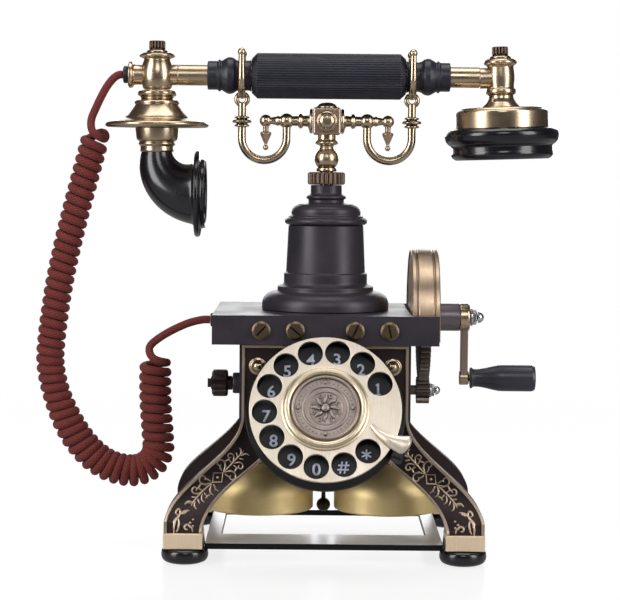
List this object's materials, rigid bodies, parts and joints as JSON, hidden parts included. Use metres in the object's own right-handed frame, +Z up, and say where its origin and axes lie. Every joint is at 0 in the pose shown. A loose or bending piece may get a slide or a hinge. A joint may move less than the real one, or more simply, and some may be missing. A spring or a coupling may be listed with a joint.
{
  "type": "table crank telephone",
  "caption": "Old-style table telephone with splayed legs, rotary dial, hand crank, two bells and a handset with a curly fabric cord on a cradle.",
  "frame": {"origin": "middle of the outer box, without the cord, on the surface the phone stands on", "axes": "+Z up, -Y towards the user at the dial, +X to the crank's side"},
  "size_m": [0.3218, 0.1844, 0.3112],
  "materials": {
    "antique_brass": "satin, darkened in the hollows",
    "pale_brass": "brushed satin",
    "bell_brass": "brushed",
    "bronze": "matt, darkened",
    "dark_metal": "satin",
    "brown_metal": "satin",
    "gear_steel": "dark, satin",
    "chrome": "polished",
    "black_enamel": "gloss",
    "black_gloss": "gloss",
    "black_satin": "satin",
    "cord_fabric": "braided",
    "board_green": "matt"
  },
  "bodies": {
    "base": {"foot_front_left": "black_gloss", "foot_front_right": "black_gloss", "foot_rear_left": "black_gloss", "foot_rear_right": "black_gloss", "base_frame": "black_enamel", "front_frame": "brown_metal", "rear_frame": "brown_metal", "body_housing": "dark_metal", "chassis_plate": "dark_metal", "circuit_board": "board_green", "top_plate": "dark_metal", "line_jack": "black_satin", "column": "dark_metal", "column_cap": "dark_metal", "knurled_nut": "bronze", "hook_switch": "black_satin", "bell_left": "bell_brass", "bell_right": "bell_brass", "ringer_magnet": "gear_steel", "number_plate": "black_satin", "dial_cup": "black_enamel", "finger_stop": "pale_brass", "gear_guard": "antique_brass", "crank_bearing": "dark_metal", "cord_gland": "pale_brass", "cord_coil": "cord_fabric", "cord_base_lead": "cord_fabric"},
    "cradle": {"cradle_stem": "antique_brass", "cradle_block": "antique_brass", "cradle_arm_right": "antique_brass", "cradle_arm_left": "antique_brass", "cradle_yoke_right": "antique_brass", "cradle_yoke_left": "antique_brass"},
    "handset": {"handset_grip": "black_satin", "handset_collar_right": "black_satin", "handset_collar_left": "black_satin", "handset_tube": "antique_brass", "transmitter_barrel": "antique_brass", "transmitter_flange": "antique_brass", "microphone_capsule": "dark_metal", "horn_collar": "antique_brass", "mouth_horn": "black_gloss", "cord_grommet": "black_satin", "receiver_post": "antique_brass", "receiver_cup": "antique_brass", "ear_cap": "black_gloss", "receiver_capsule": "dark_metal", "cord_handset_lead": "cord_fabric"},
    "dial": {"finger_wheel": "pale_brass", "dial_hub": "antique_brass", "dial_badge": "bronze"},
    "crank": {"crank_shaft": "gear_steel", "drive_gear": "gear_steel", "crank_arm": "antique_brass", "crank_nut": "chrome"},
    "crank_grip": {"crank_grip": "black_satin"},
    "pinion": {"pinion": "gear_steel", "pinion_nut": "chrome"},
    "hammer": {"bell_hammer": "brown_metal"},
    "knob": {"side_knob": "brown_metal"}
  },
  "joints": [
    {"name": "handset_lift", "type": "slide", "parent": "base", "child": "handset", "axis": [0, 0, 1], "range_m": [0, 0.06]},
    {"name": "cradle_travel", "type": "slide", "parent": "base", "child": "cradle", "axis": [0, 0, 1], "range_m": [0, 0.004]},
    {"name": "dial_turn", "type": "hinge", "parent": "base", "child": "dial", "pos_m": [-0.0033, -0.07279, 0.0952], "axis": [0, -0.8988, 0.4384], "range_deg": [-330, 0], "stiffness_Nm_per_rad": 0.01},
    {"name": "crank_turn", "type": "hinge", "parent": "base", "child": "crank", "pos_m": [0.0567, 0.01521, 0.1421], "axis": [1, 0, 0], "continuous": true},
    {"name": "grip_spin", "type": "hinge", "parent": "crank", "child": "crank_grip", "pos_m": [0.1067, 0.01521, 0.1044], "axis": [1, 0, 0], "continuous": true},
    {"name": "pinion_turn", "type": "hinge", "parent": "base", "child": "pinion", "pos_m": [0.0567, 0.01521, 0.0965], "axis": [1, 0, 0], "continuous": true},
    {"name": "hammer_swing", "type": "hinge", "parent": "base", "child": "hammer", "pos_m": [-0.0033, 0.01521, 0.066], "axis": [0, 1, 0], "range_deg": [-2.4, 2.4]},
    {"name": "knob_turn", "type": "hinge", "parent": "base", "child": "knob", "pos_m": [-0.0633, 0.01521, 0.1], "axis": [1, 0, 0], "range_deg": [-135, 135]}
  ],
  "couplings": [
    {"joint": "cradle_travel", "follows": "handset_lift", "ratio": 0.0666},
    {"joint": "pinion_turn", "follows": "crank_turn", "ratio": -5.3333}
  ]
}
